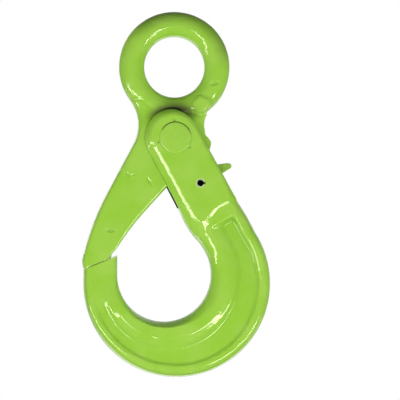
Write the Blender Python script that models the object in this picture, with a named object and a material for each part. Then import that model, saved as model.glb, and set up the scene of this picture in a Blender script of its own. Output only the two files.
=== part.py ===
"""Self-locking eye hook for a 10 mm lifting chain, as six separate pieces at rest.

The eye forging carries the ring, the hub and the latch arm. The hook forging swings on the load pin,
and its tip parts from the latch arm. A sprung trigger in the fork locks under a tooth on the hub.

Frame: the origin is the centre of the eye, X runs to the right, Y away from the viewer and Z up.
Lengths below are in millimetres. Angles are in degrees, counter-clockwise as seen from the front.
"""

import math

import bmesh
import bpy
from mathutils import Vector

MM = 0.001
ORIGIN = Vector((0.0, 0.0))

# Eye ring
EYE_RADIUS = 17.7
RING_WIDTH = 15.0
RING_HALF_DEPTH = 8.2
RING_OUTER = EYE_RADIUS + RING_WIDTH

# Load pin, which is also the axis that the hook swings on
PIVOT = Vector((-0.3, -41.5))
PIN_RADIUS = 9.4
PIN_HALF_LENGTH = 12.6
PIN_CHAMFER = 0.6
PRESS_GAP = 0.2
RUNNING_GAP = 0.25

# Shank of the hook, leaning away from the upright
SHANK_TILT = 28.8
SHANK_RIGHT = 14.3
SHANK_LEFT = 18.0
CHEEK_RADIUS = 17.6
CHEEK_FACE = 13.0
CHEEK_ROUNDING = 3.0
FORK_HALF_GAP = 6.3
FORK_FLOOR = 37.5
CHEEK_END = 47.4

# Bowl of the hook: an inner and an outer circle, and the upright walls of the tip beside them
BOWL_INNER_CENTRE = Vector((-6.1, -122.2))
BOWL_INNER_RADIUS = 27.6
BOWL_OUTER_CENTRE = Vector((1.5, -127.4))
BOWL_OUTER_RADIUS = 55.2
BOWL_END_ANGLE = 393.0
TIP_INNER_TOP = Vector((-33.7, -110.7))
TIP_OUTER_TOP = Vector((-53.7, -118.9))
TIP_HALF_DEPTH = 8.6
BOWL_HALF_DEPTH = 11.2
RIM_HALF_DEPTH = 9.6
PANEL_HALF_DEPTH = 8.2
FULL_WIDTH = 33.0

# Latch arm and hub of the eye forging
ARM_HALF_DEPTH = 7.8
ARM_ROUNDING = 2.4
NECK_ROUNDING = 6.6
LUG_HALF_DEPTH = 6.0
WAIST_LEFT = -21.3
WAIST_RIGHT = 17.3
WAIST_HEIGHT = -34.0
ARM_OUTER_LEAN = 28.2
ARM_INNER_LEAN = 42.3
ARM_END_LEAN = 12.0
ARM_TOE_LEAN = 32.0
ARM_OUTER_RUN = 33.0
ARM_INNER_RUN = 19.5
ARM_OUTER_BEND = 150.0
ARM_INNER_BEND = 150.0
ARM_CROSSING = Vector((-4.7, -70.6))
SEAM_POINT = Vector((-45.2, -114.9))
SEAM_RISE = 22.9
SEAM_LEFT = 9.0
SEAM_RIGHT = 8.2
HUB_RADIUS = 18.0
TOOTH_RADIUS = 22.0
TOOTH_FLANK = -26.0
TOOTH_BACK = -7.0
TOOTH_RAMP_END = 5.0
SWING_LIMIT = 50.0
STOP_MARGIN = 1.5
CHEEK_CLEARANCE = 0.7
STOP_PAD = Vector((15.4, -22.9))
STOP_PAD_RADIUS = 5.2
STOP_PAD_HALF_DEPTH = 9.4
STOP_PAD_ROUNDING = 1.4
HIDDEN_INSET = 0.4
NECK_STEPS = 8
ARM_STEPS = 6

# Tongue on the hook's tip and the groove for it in the arm's end
TONGUE_HALF_DEPTH = 3.2
GROOVE_HALF_DEPTH = 3.6
GROOVE_HEIGHT = 7.0

# Trigger, its slotted pin and its spring
TRIGGER_PIN_ALONG = 30.4
TRIGGER_HALF_DEPTH = 5.7
TRIGGER_HUB_RADIUS = 6.2
TRIGGER_ROUNDING = 0.7
ROLL_PIN_RADIUS = 3.0
ROLL_PIN_BORE = 1.85
ROLL_PIN_SLIT = 0.7
ROLL_PIN_HALF_LENGTH = 12.5
CHANNEL_HALF_DEPTH = 2.9
CHANNEL_ROOF = 25.2
CHANNEL_END = 12.0
SPRING_WIRE = 1.0
SPRING_RADIUS = 4.2
SPRING_TURNS = 2.5
SPRING_HALF_LENGTH = 1.9

PIN_SIDES = 40
CUT_DEPTH = 20.0

LIME_PAINT = (0.325, 0.618, 0.062, 1.0)
SHADED_PAINT = (0.260, 0.470, 0.055, 1.0)
SPRING_STEEL = (0.32, 0.31, 0.30, 1.0)


def polar(centre, radius, angle):
    turn = math.radians(angle)
    return centre + radius * Vector((math.cos(turn), math.sin(turn)))


def heading(lean):
    """A direction pointing down and to the left, leaning this far from the plumb line."""
    return polar(ORIGIN, 1.0, 270.0 - lean)


def arc(centre, radius, start, end, steps):
    turn = (end - start) / steps
    return [polar(centre, radius, start + turn * i) for i in range(steps + 1)]


ALONG = polar(ORIGIN, 1.0, SHANK_TILT - 90.0)
ACROSS = polar(ORIGIN, 1.0, SHANK_TILT)


def shank(along, across):
    """A point measured from the load pin down the shank's axis and square to it."""
    return PIVOT + along * ALONG + across * ACROSS


TRIGGER_PIVOT = shank(TRIGGER_PIN_ALONG, 0.0)


def paint(name, colour, roughness, metallic):
    material = bpy.data.materials.new(name)
    material.use_nodes = True
    shader = material.node_tree.nodes["Principled BSDF"]
    shader.inputs["Base Color"].default_value = colour
    shader.inputs["Roughness"].default_value = roughness
    shader.inputs["Metallic"].default_value = metallic
    return material


def add_object(name, bm, origin):
    """Turns a bmesh in millimetres into an object whose own origin is on its joint's axis."""
    bmesh.ops.recalc_face_normals(bm, faces=bm.faces)
    bmesh.ops.translate(bm, verts=bm.verts, vec=(-origin.x, 0.0, -origin.y))
    bmesh.ops.scale(bm, verts=bm.verts, vec=(MM, MM, MM))
    mesh = bpy.data.meshes.new(name)
    bm.to_mesh(mesh)
    bm.free()
    mesh.shade_smooth()
    mesh.set_sharp_from_angle(angle=math.radians(35.0))
    body = bpy.data.objects.new(name, mesh)
    body.location = (origin.x * MM, 0.0, origin.y * MM)
    bpy.context.scene.collection.objects.link(body)
    return body


def plate(name, outline, near, far, origin):
    """A flat plate between two depths, from its outline seen from the front."""
    bm = bmesh.new()
    corners = [bm.verts.new((point.x, near, point.y)) for point in outline]
    face = bm.faces.new(corners)
    grown = bmesh.ops.extrude_face_region(bm, geom=[face])
    moved = [item for item in grown["geom"] if isinstance(item, bmesh.types.BMVert)]
    bmesh.ops.translate(bm, verts=moved, vec=(0.0, far - near, 0.0))
    return add_object(name, bm, origin)


def round_bar(name, centre, radius, half_length, origin):
    outline = arc(centre, radius, 0.0, 360.0 - 360.0 / PIN_SIDES, PIN_SIDES - 1)
    return plate(name, outline, -half_length, half_length, origin)


def loft(name, rings, origin):
    """A closed body through rings that all have the same number of points."""
    bm = bmesh.new()
    loops = []
    for ring in rings:
        corners = [bm.verts.new(point) for point in ring]
        pairs = zip(corners, corners[1:] + corners[:1])
        loops.append([bm.edges.new(pair) for pair in pairs])
    for first, second in zip(loops, loops[1:]):
        bmesh.ops.bridge_loops(bm, edges=first + second)
    for end in (loops[0], loops[-1]):
        bmesh.ops.contextual_create(bm, geom=end)
    return add_object(name, bm, origin)


def round_edges(body, width, segments):
    bevel = body.modifiers.new("rounding", "BEVEL")
    bevel.width = width * MM
    bevel.segments = segments
    bevel.limit_method = "ANGLE"
    bevel.angle_limit = math.radians(50.0)


def combine(body, other, operation):
    boolean = body.modifiers.new(other.name, "BOOLEAN")
    boolean.operation = operation
    boolean.solver = "EXACT"
    boolean.object = other
    other.hide_render = True
    other.display_type = "WIRE"


def bowl_section(inner, outer, depths):
    """One ring round the hook's section: a bulb by the load, a sunk panel and a rim outside it."""
    bulb, panel, rim = depths
    width = (outer - inner).length
    step = (outer - inner) / width
    scale = min(1.0, width / FULL_WIDTH)
    profile = [
        (1.0 * scale, 0.50 * bulb),
        (3.6 * scale, 0.84 * bulb),
        (8.0 * scale, bulb),
        (10.5 * scale, bulb),
        (17.5 * scale, panel),
        (width - 9.8 * scale, panel),
        (width - 7.6 * scale, rim),
        (width - 4.4 * scale, 0.96 * rim),
        (width - 1.2 * scale, 0.55 * rim),
    ]
    front = [inner + step * across for across, _ in profile]
    ring = [(inner.x, 0.0, inner.y)]
    ring += [(p.x, -depth, p.y) for p, (_, depth) in zip(front, profile)]
    ring += [(outer.x, 0.0, outer.y)]
    ring += [(p.x, depth, p.y) for p, (_, depth) in reversed(list(zip(front, profile)))]
    return ring


def between(low, high, share):
    return low + (high - low) * max(0.0, min(1.0, share))


def bowl_depths(angle):
    """Half depths of bulb, panel and rim, which grow from the plain tip into the full section."""
    growth = (angle - 185.0) / 45.0
    bulb = between(TIP_HALF_DEPTH, BOWL_HALF_DEPTH, growth)
    panel = between(TIP_HALF_DEPTH, PANEL_HALF_DEPTH, growth)
    rim = between(0.97 * TIP_HALF_DEPTH, RIM_HALF_DEPTH, growth)
    return bulb, panel, rim


def make_hook_body():
    # The round bowl, from the tip's flat top down one side and up the other
    rings = []
    for share in (0.0, 0.5):
        inner = TIP_INNER_TOP.lerp(polar(BOWL_INNER_CENTRE, BOWL_INNER_RADIUS, 180.0), share)
        outer = TIP_OUTER_TOP.lerp(polar(BOWL_OUTER_CENTRE, BOWL_OUTER_RADIUS, 180.0), share)
        rings.append(bowl_section(inner, outer, bowl_depths(180.0)))
    steps = 24
    for i in range(steps + 1):
        angle = between(180.0, BOWL_END_ANGLE, i / steps)
        inner = polar(BOWL_INNER_CENTRE, BOWL_INNER_RADIUS, angle)
        outer = polar(BOWL_OUTER_CENTRE, BOWL_OUTER_RADIUS, angle)
        rings.append(bowl_section(inner, outer, bowl_depths(angle)))
    # The straight neck of the bowl, where the panel ends and the section thickens into the fork
    full = bowl_depths(BOWL_END_ANGLE)
    plain = (BOWL_HALF_DEPTH, RIM_HALF_DEPTH, RIM_HALF_DEPTH)
    neck = [
        (62.0, 16.7, 15.5, full),
        (58.5, 17.5, 15.4, full),
        (55.5, 18.1, 15.2, plain),
        (48.0, 18.7, 14.8, plain),
        (FORK_FLOOR + 1.3, 18.3, SHANK_RIGHT - 0.1, plain),
    ]
    for along, left, right, depths in neck:
        rings.append(bowl_section(shank(along, -left), shank(along, right), depths))
    body = loft("hook_body", rings, PIVOT)

    # The two flat cheeks, drawn as one block that the fork's gap then parts
    corner = math.degrees(math.acos(SHANK_RIGHT / CHEEK_RADIUS))
    outline = arc(PIVOT, CHEEK_RADIUS, SHANK_TILT + corner, SHANK_TILT + 180.0, 14)
    outline += [
        shank(FORK_FLOOR + 3.0, -SHANK_LEFT),
        shank(54.0, -SHANK_LEFT + 1.5),
        shank(57.5, -13.5),
        shank(56.5, -10.0),
        shank(52.0, -6.0),
        shank(CHEEK_END + 1.0, 0.0),
        shank(CHEEK_END, 6.0),
        shank(CHEEK_END, SHANK_RIGHT),
    ]
    cheeks = plate("cheek_block", outline, -CHEEK_FACE, CHEEK_FACE, PIVOT)
    round_edges(cheeks, CHEEK_ROUNDING, 3)
    combine(body, cheeks, "UNION")

    tongue_outline = [
        Vector((-51.2, -124.0)),
        Vector((-51.2, -113.4)),
        Vector((-49.4, -111.6)),
        Vector((-42.4, -107.9)),
        Vector((-39.6, -110.4)),
        Vector((-39.6, -122.0)),
    ]
    tongue = plate("tip_tongue", tongue_outline, -TONGUE_HALF_DEPTH, TONGUE_HALF_DEPTH, PIVOT)
    combine(body, tongue, "UNION")

    gap_outline = [
        shank(-30.0, -40.0),
        shank(FORK_FLOOR, -40.0),
        shank(FORK_FLOOR, 40.0),
        shank(-30.0, 40.0),
    ]
    fork_gap = plate("fork_gap", gap_outline, -FORK_HALF_GAP, FORK_HALF_GAP, PIVOT)
    combine(body, fork_gap, "DIFFERENCE")
    pin_hole = round_bar("load_pin_hole", PIVOT, PIN_RADIUS + PRESS_GAP, CUT_DEPTH, PIVOT)
    combine(body, pin_hole, "DIFFERENCE")
    small_hole = round_bar(
        "trigger_pin_hole", TRIGGER_PIVOT, ROLL_PIN_RADIUS + PRESS_GAP, CUT_DEPTH, PIVOT
    )
    combine(body, small_hole, "DIFFERENCE")
    return body


def make_ring():
    """The ring of the eye, a fat rounded section spun round the eye's centre."""
    bm = bmesh.new()
    middle = EYE_RADIUS + RING_WIDTH / 2
    sides = 14
    corners = []
    for i in range(sides):
        turn = 2 * math.pi * i / sides
        # A little squarer than a circle, as a forged eye is
        x = math.copysign(abs(math.cos(turn)) ** 0.85, math.cos(turn)) * RING_WIDTH / 2
        y = math.copysign(abs(math.sin(turn)) ** 0.85, math.sin(turn)) * RING_HALF_DEPTH
        corners.append(bm.verts.new((middle + x, y, 0.0)))
    edges = [bm.edges.new(pair) for pair in zip(corners, corners[1:] + corners[:1])]
    bmesh.ops.spin(
        bm,
        geom=corners + edges,
        cent=(0.0, 0.0, 0.0),
        axis=(0.0, 1.0, 0.0),
        angle=2 * math.pi,
        steps=48,
        use_merge=True,
    )
    return add_object("eye_latch", bm, ORIGIN)


def waist(edge):
    """Centre and radius of the hollow that runs from the ring's outside into the neck at this edge."""
    reach = abs(edge)
    radius = (reach**2 + WAIST_HEIGHT**2 - RING_OUTER**2) / (2 * (RING_OUTER - reach))
    centre = Vector((math.copysign(reach + radius, edge), WAIST_HEIGHT))
    return centre, radius


def arm_section(outer, inner, rounding):
    """One ring round the latch arm: flat faces, with each edge rounded off."""
    inwards = (inner - outer).normalized() * rounding
    quarter = [(0.0, 0.0), (0.29, 0.71), (1.0, 1.0)]
    profile = []
    for across, rise in quarter:
        profile.append((outer + inwards * across, ARM_HALF_DEPTH - rounding * (1.0 - rise)))
    for across, rise in reversed(quarter):
        profile.append((inner - inwards * across, ARM_HALF_DEPTH - rounding * (1.0 - rise)))
    ring = [(point.x, -depth, point.y) for point, depth in profile]
    ring += [(point.x, depth, point.y) for point, depth in reversed(profile)]
    return ring


def make_arm():
    """The neck and the latch arm, from inside the ring down to the seam with the hook's tip."""
    # Outer edge: the hollow of the neck, a straight run, then a slow bend towards the tip
    left_centre, left_radius = waist(WAIST_LEFT)
    neck_start = math.degrees(math.atan2(-left_centre.y, -left_centre.x))
    outer = arc(left_centre, left_radius, neck_start, -ARM_OUTER_LEAN, NECK_STEPS)
    bend_start = outer[-1] + ARM_OUTER_RUN * heading(ARM_OUTER_LEAN)
    bend_centre = bend_start + ARM_OUTER_BEND * polar(ORIGIN, 1.0, -ARM_OUTER_LEAN)
    outer += arc(
        bend_centre, ARM_OUTER_BEND, 180.0 - ARM_OUTER_LEAN, 180.0 - ARM_END_LEAN, ARM_STEPS
    )
    # Inner edge: the right side of the neck, a hidden run behind the fork, then the arm's underside
    right_centre, right_radius = waist(WAIST_RIGHT)
    neck_end = math.degrees(math.atan2(-right_centre.y, -right_centre.x))
    half = NECK_STEPS // 2
    inner = arc(right_centre, right_radius + HIDDEN_INSET, neck_end, 176.0, half)
    neck_foot = inner[-1]
    inner += [neck_foot.lerp(ARM_CROSSING, i / half) for i in range(1, half + 1)]
    bend_start = ARM_CROSSING + ARM_INNER_RUN * heading(ARM_INNER_LEAN)
    bend_centre = bend_start + ARM_INNER_BEND * polar(ORIGIN, 1.0, -ARM_INNER_LEAN)
    inner += arc(
        bend_centre, ARM_INNER_BEND, 180.0 - ARM_INNER_LEAN, 180.0 - ARM_TOE_LEAN, ARM_STEPS
    )
    # The end lies on the seam
    seam = polar(ORIGIN, 1.0, SEAM_RISE)
    outer.append(SEAM_POINT - SEAM_LEFT * seam)
    inner.append(SEAM_POINT + SEAM_RIGHT * seam)
    rings = []
    for i, (outer_point, inner_point) in enumerate(zip(outer, inner)):
        rounding = between(NECK_ROUNDING, ARM_ROUNDING, i / NECK_STEPS)
        rings.append(arm_section(outer_point, inner_point, rounding))
    return loft("arm_blank", rings, ORIGIN)


def make_eye_latch():
    body = make_ring()
    combine(body, make_arm(), "UNION")

    # Both faces are sunk where the cheeks swing, up to a stop that meets them when the hook is open
    sweep = CHEEK_RADIUS + CHEEK_CLEARANCE
    stop_angle = SHANK_TILT + SWING_LIMIT + STOP_MARGIN
    stop_reach = SHANK_RIGHT + CHEEK_CLEARANCE
    stop_corner = stop_angle - math.degrees(math.acos(stop_reach / sweep))
    stop_end = polar(PIVOT, stop_reach, stop_angle) + 40.0 * polar(ORIGIN, 1.0, stop_angle - 90.0)
    sunk = [stop_end]
    sunk += arc(PIVOT, sweep, stop_corner, SHANK_TILT + 180.0, 16)
    sunk += [shank(60.0, -SHANK_LEFT - 2.4), shank(60.0, 45.0)]
    for side, sign in (("front", -1.0), ("rear", 1.0)):
        depths = sorted((sign * LUG_HALF_DEPTH, sign * CUT_DEPTH))
        combine(body, plate(side + "_recess", sunk, *depths, ORIGIN), "DIFFERENCE")

    # The hub between the cheeks, with the lock tooth that the trigger's nose stops
    inset = HIDDEN_INSET * polar(ORIGIN, 1.0, 180.0 - ARM_INNER_LEAN)
    right_centre, right_radius = waist(WAIST_RIGHT)
    hub = [
        ARM_CROSSING + 3.5 * heading(ARM_INNER_LEAN) + inset,
        ARM_CROSSING - 15.0 * heading(ARM_INNER_LEAN) + inset,
    ]
    hub += arc(PIVOT, HUB_RADIUS, -72.0, TOOTH_FLANK, 6)
    hub += arc(PIVOT, TOOTH_RADIUS, TOOTH_FLANK, TOOTH_BACK, 4)
    ramp_middle = (TOOTH_BACK + TOOTH_RAMP_END) / 2
    hub += [polar(PIVOT, (TOOTH_RADIUS + HUB_RADIUS) / 2 + 0.3, ramp_middle)]
    hub += [polar(PIVOT, HUB_RADIUS + HIDDEN_INSET, TOOTH_RAMP_END)]
    hub += arc(right_centre, right_radius, 184.0, 150.0, 4)
    hub += [
        Vector((16.0, -20.5)),
        Vector((-8.0, -24.0)),
        Vector((-15.0, -40.0)),
        Vector((-17.0, -70.0)),
    ]
    lug = plate("hub_lug", hub, -LUG_HALF_DEPTH, LUG_HALF_DEPTH, ORIGIN)
    combine(body, lug, "UNION")

    # A raised pad on each face of the right shoulder, just above where the open hook's cheeks come to
    pad = round_bar("stop_pad", STOP_PAD, STOP_PAD_RADIUS, STOP_PAD_HALF_DEPTH, ORIGIN)
    round_edges(pad, STOP_PAD_ROUNDING, 2)
    combine(body, pad, "UNION")

    bore = round_bar("hub_bore", PIVOT, PIN_RADIUS + RUNNING_GAP, CUT_DEPTH, ORIGIN)
    combine(body, bore, "DIFFERENCE")
    seam = polar(ORIGIN, 1.0, SEAM_RISE)
    rise = GROOVE_HEIGHT * polar(ORIGIN, 1.0, SEAM_RISE + 90.0)
    groove_outline = [
        SEAM_POINT - 25.0 * seam - rise,
        SEAM_POINT + 25.0 * seam - rise,
        SEAM_POINT + 25.0 * seam + rise,
        SEAM_POINT - 25.0 * seam + rise,
    ]
    groove = plate("tip_groove", groove_outline, -GROOVE_HALF_DEPTH, GROOVE_HALF_DEPTH, ORIGIN)
    combine(body, groove, "DIFFERENCE")
    return body


def make_load_pin():
    pin = round_bar("load_pin", PIVOT, PIN_RADIUS, PIN_HALF_LENGTH, PIVOT)
    round_edges(pin, PIN_CHAMFER, 1)
    return pin


def make_trigger():
    # Nose, thumb lever and the round hub on the pin, as measured down and across the shank
    outline = [
        shank(18.35, 12.85),
        shank(21.6, 13.9),
        shank(25.75, 14.2),
        shank(28.4, 20.7),
        shank(29.4, 21.6),
        shank(30.8, 21.6),
        shank(31.8, 20.5),
        shank(32.0, 14.0),
        shank(33.6, 8.0),
    ]
    hub_start = SHANK_TILT - 90.0 + 50.0
    outline += arc(TRIGGER_PIVOT, TRIGGER_HUB_RADIUS, hub_start, hub_start - 260.0, 12)
    outline.append(shank(22.3, 6.9))
    body = plate("trigger", outline, -TRIGGER_HALF_DEPTH, TRIGGER_HALF_DEPTH, TRIGGER_PIVOT)
    round_edges(body, TRIGGER_ROUNDING, 1)
    channel_outline = [
        shank(CHANNEL_ROOF, -9.0),
        shank(45.0, -9.0),
        shank(45.0, CHANNEL_END),
        shank(CHANNEL_ROOF, CHANNEL_END),
    ]
    channel = plate(
        "spring_channel", channel_outline, -CHANNEL_HALF_DEPTH, CHANNEL_HALF_DEPTH, TRIGGER_PIVOT
    )
    combine(body, channel, "DIFFERENCE")
    bore = round_bar(
        "trigger_bore", TRIGGER_PIVOT, ROLL_PIN_RADIUS + RUNNING_GAP, CUT_DEPTH, TRIGGER_PIVOT
    )
    combine(body, bore, "DIFFERENCE")
    return body


def make_trigger_pin():
    """A tube rolled from strip, with its slit facing right."""
    half_slit = math.degrees(math.asin(ROLL_PIN_SLIT / ROLL_PIN_RADIUS))
    bore_slit = math.degrees(math.asin(ROLL_PIN_SLIT / ROLL_PIN_BORE))
    outline = arc(TRIGGER_PIVOT, ROLL_PIN_RADIUS, half_slit, 360.0 - half_slit, 26)
    outline += arc(TRIGGER_PIVOT, ROLL_PIN_BORE, 360.0 - bore_slit, bore_slit, 20)
    return plate(
        "trigger_pin", outline, -ROLL_PIN_HALF_LENGTH, ROLL_PIN_HALF_LENGTH, TRIGGER_PIVOT
    )


def make_trigger_spring():
    """One leg on the fork's floor, the coil round the pin, the other leg under the thumb lever."""
    coil_steps = int(SPRING_TURNS * 16)
    coil_bottom = TRIGGER_PIN_ALONG + SPRING_RADIUS
    coil_top = TRIGGER_PIN_ALONG - SPRING_RADIUS
    path = [(shank(36.6, 9.5), -SPRING_HALF_LENGTH), (shank(35.6, 5.5), -SPRING_HALF_LENGTH)]
    for i in range(coil_steps + 1):
        share = i / coil_steps
        angle = SHANK_TILT - 90.0 - 360.0 * SPRING_TURNS * share
        depth = between(-SPRING_HALF_LENGTH, SPRING_HALF_LENGTH, share)
        path.append((polar(TRIGGER_PIVOT, SPRING_RADIUS, angle), depth))
    path += [(shank(coil_top, across), SPRING_HALF_LENGTH) for across in (5.0, 10.5)]
    curve = bpy.data.curves.new("trigger_spring", "CURVE")
    curve.dimensions = "3D"
    curve.bevel_depth = SPRING_WIRE / 2 * MM
    curve.bevel_resolution = 2
    curve.use_fill_caps = True
    spline = curve.splines.new("POLY")
    spline.points.add(len(path) - 1)
    for knot, (point, depth) in zip(spline.points, path):
        local = (point - TRIGGER_PIVOT) * MM
        knot.co = (local.x, depth * MM, local.y, 1.0)
    spring = bpy.data.objects.new("trigger_spring", curve)
    spring.location = (TRIGGER_PIVOT.x * MM, 0.0, TRIGGER_PIVOT.y * MM)
    bpy.context.scene.collection.objects.link(spring)
    return spring


def build():
    for old in list(bpy.data.objects):
        bpy.data.objects.remove(old)
    finishes = [
        (make_eye_latch, paint("eye_latch_paint", LIME_PAINT, 0.35, 0.0)),
        (make_hook_body, paint("hook_body_paint", LIME_PAINT, 0.35, 0.0)),
        (make_load_pin, paint("load_pin_paint", LIME_PAINT, 0.40, 0.0)),
        (make_trigger, paint("trigger_paint", SHADED_PAINT, 0.45, 0.0)),
        (make_trigger_pin, paint("trigger_pin_steel", SPRING_STEEL, 0.35, 1.0)),
        (make_trigger_spring, paint("trigger_spring_steel", SPRING_STEEL, 0.30, 1.0)),
    ]
    for make, material in finishes:
        make().data.materials.append(material)


build()
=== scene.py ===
import math

import bmesh
import bpy
from mathutils import Matrix, Vector


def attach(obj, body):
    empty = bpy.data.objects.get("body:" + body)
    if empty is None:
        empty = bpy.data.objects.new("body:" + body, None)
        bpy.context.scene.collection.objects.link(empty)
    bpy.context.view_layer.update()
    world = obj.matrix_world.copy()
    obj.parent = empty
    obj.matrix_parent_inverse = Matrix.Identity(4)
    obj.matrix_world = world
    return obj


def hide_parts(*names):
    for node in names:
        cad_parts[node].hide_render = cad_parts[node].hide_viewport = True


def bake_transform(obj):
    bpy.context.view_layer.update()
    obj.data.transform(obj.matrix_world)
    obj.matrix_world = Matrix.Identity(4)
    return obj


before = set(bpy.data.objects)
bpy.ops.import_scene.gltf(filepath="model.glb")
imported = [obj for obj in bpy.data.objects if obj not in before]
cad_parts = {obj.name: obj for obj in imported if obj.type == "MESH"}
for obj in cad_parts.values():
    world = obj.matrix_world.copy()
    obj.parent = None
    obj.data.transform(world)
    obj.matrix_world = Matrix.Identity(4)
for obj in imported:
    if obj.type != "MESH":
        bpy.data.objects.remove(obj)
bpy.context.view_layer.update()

# Eye forging: one drop-forged piece of alloy steel with the ring, the neck, the hub that fills the fork
# and the long latch arm that closes the throat. Both faces are sunk where the cheeks swing, up to a
# raised stop on the shoulder. It is shot-blasted and enamelled, and the hub's bore is drilled last.
MM = 0.001
WELD_DISTANCE = 1e-4
ORIGIN = Vector((0.0, 0.0))
PIVOT = Vector((-0.3, -41.5))
BOTH_SIDES = (-1.0, 1.0)
RIGHT_THROUGH = 20.0
FORGED_CREASE = 50.0

SHANK_TILT = 28.8
SHANK_RIGHT = 14.3
CHEEK_TOP = (
    (0.0, SHANK_RIGHT),
    (20.0, 14.6),
    (40.0, 15.4),
    (60.0, 16.5),
    (80.0, 17.2),
    (105.0, 17.6),
    (180.0, 17.6),
)
CHEEK_LEFT = ((12.0, 17.5), (25.0, 17.6), (38.0, 17.9), (50.0, 18.2))
CHEEK_GAP = 0.06
CROWN_GAP = 1.5
RECESS_START = 40.0
RECESS_STEPS = 70
RECESS_REACH = 45.0
STOP_SWING = 51.5
STOP_GAP = 0.7
STOP_EDGE = 40.0

# A spread is the angle of its middle, its reach to either side and, where it isn't 1, its firmness
CROWN_SPREAD = (63.0, 34.0)

EYE_RADIUS = 17.7
RING_WIDTH = 15.0
RING_HALF_DEPTH = 8.2
RING_OUTER = EYE_RADIUS + RING_WIDTH
RING_SIDES = 32
RING_STEPS = 120
ARM_HALF_DEPTH = 7.8
ARM_ROUNDING = 2.2
NECK_ROUNDING = 6.6
ROUNDING_STEPS = 5
WAIST_LEFT = -21.3
WAIST_RIGHT = 17.3
WAIST_HEIGHT = -34.0
NECK_FOOT = 176.0
NECK_STEPS = 20
ARM_OUTER_LEAN = 28.2
ARM_INNER_LEAN = 42.3
ARM_END_LEAN = 12.0
ARM_TOE_LEAN = 32.0
ARM_OUTER_RUN = 33.0
ARM_INNER_RUN = 19.5
ARM_BEND = 150.0
ARM_STEPS = 14
ARM_CROSSING = Vector((-4.7, -70.6))
SEAM_POINT = Vector((-45.2, -115.15))
SEAM_RISE = 22.4
SEAM_LEFT = 9.0
SEAM_RIGHT = 6.7
SEAM_CUT = 25.0
TOE_OUTER = Vector((-53.6, -117.9))
TOE_INNER = Vector((-37.3, -109.9))
TOE_SPARE = 2.5
TOE_CUT = 9.0
TOE_CHAMFER = ((-0.5, 7.40), (2.2, 8.12), (-0.5, 10.0))
GROOVE_DEPTH = 7.0
GROOVE_HALF_WIDTH = 3.6

# The hub's edge keeps this far from the arm's, so that no two faces of the joined shapes coincide
HUB_STEP = 0.4
HUB_HALF_DEPTH = 6.0
HUB_RADIUS = 18.0
HUB_BORE = 9.65
HUB_BORE_REACH = 9.0
HUB_ARM_RUN = (3.5, -15.0)
HUB_START = -72.0
HUB_STEPS = 16
HUB_NECK = (184.0, 150.0)
HUB_NECK_STEPS = 12
HUB_INSIDE = ((16.0, -20.5), (-8.0, -24.0), (-15.0, -40.0), (-17.0, -70.0))
TOOTH_RADIUS = 22.0
TOOTH_START = -26.0
TOOTH_END = -7.0
TOOTH_BACK = ((20.3, -1.0), (18.4, 5.0))
TOOTH_STEPS = 8
BORE_STEPS = 72

STOP_PAD = (
    (14.2, -16.6),
    (17.8, -17.6),
    (21.0, -19.4),
    (20.0, -23.4),
    (17.2, -26.6),
    (14.2, -27.2),
    (10.9, -25.8),
    (9.4, -23.2),
    (10.2, -20.4),
    (12.4, -18.2),
)
STOP_PAD_MIDDLE = Vector((15.0, -22.3))
STOP_PAD_LEVELS = ((5.0, 0.0), (8.4, 0.0), (9.5, 0.3))
FLOW_STEPS = 4

# Each dent: its name, its place, its lean, the radii of what struck it and how deep that went in
DENTS = (
    ("nick", (-27.7, -63.6), 20.0, (2.2, 2.4, 5.2), 0.32),
    ("scratch", (-24.6, -63.3), -68.0, (1.6, 2.0, 4.0), 0.26),
    ("scrape", (-15.2, -67.6), 32.0, (2.4, 2.4, 7.5), 0.36),
    ("dimple", (-37.9, -96.0), 0.0, (3.6, 1.6, 1.7), 0.55),
    ("lap", (22.9, -9.5), -84.0, (2.2, 2.2, 9.0), 0.40),
)
EYE_VOXEL = 0.5
EYE_PASSES = 7

LIME = (0.334, 0.620, 0.058)
EYE_GLOSS = 0.12
EYE_WAVE = 0.55

# What the enamel's colour is multiplied by where the coat is thick or thin, on ridges, paler for a thinner
# coat and a painted highlight, and in corners, darker as painted shade
THICK_COAT = (0.93, 0.97, 0.85)
THIN_COAT = (1.07, 1.02, 1.35)
COAT_PATCHES = (0.35, 0.65)
RIDGE_THIN_COAT_HIGHLIGHT = (1.22, 1.10, 1.9)
RIDGE_CURVE = (0.505, 0.56)
RIDGE_SHARE = 0.55
CORNER_SHADE = (0.45, 0.52, 0.55)
CORNER_CURVE = (0.495, 0.44)
CORNER_SHARE = 0.4
HAZE = (0.3, 0.7)
SHEEN_BELOW = 0.05
SHEEN_ABOVE = 0.07
WAVE_DEPTH = 0.4
PEEL_DEPTH = 0.08
PEEL_SHARE = 0.64
HIGHLIGHT_TINT = (1.0, 0.94, 0.70, 1.0)

# Where the mix node has its two colours and its result
MIX_FIRST = 6
MIX_SECOND = 7
MIX_RESULT = 2

# Painted shade: a near-black laid over the enamel where shade falls, above the ear's crown as a painted
# shadow of the ear, on the top of the ring and on the load pin's upper rim
PAINTED_SHADE = (0.04, 0.04, 0.02)
SHADE_FADE = 0.5
CROWN_SHADOW = dict(centre=PIVOT, unshaded=28.0, black=17.0, aim=97.0, spread=0.45, falloff=2.8, strength=0.95)
RING_TOP_SHADE = dict(centre=ORIGIN, unshaded=21.0, black=36.0, aim=72.0, spread=0.2, falloff=1.0, strength=0.55)


def polar(centre, radius, angle):
    turn = math.radians(angle)
    return centre + radius * Vector((math.cos(turn), math.sin(turn)))


def heading(lean):
    return polar(ORIGIN, 1.0, 270.0 - lean)


def arc(centre, radius, start, end, steps):
    turn = (end - start) / steps
    return [polar(centre, radius, start + turn * i) for i in range(steps + 1)]


def shank(along, across):
    """A point measured from the load pin down the shank's axis and square to it."""
    down = polar(ORIGIN, along, SHANK_TILT - 90.0)
    return PIVOT + down + polar(ORIGIN, across, SHANK_TILT)


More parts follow.
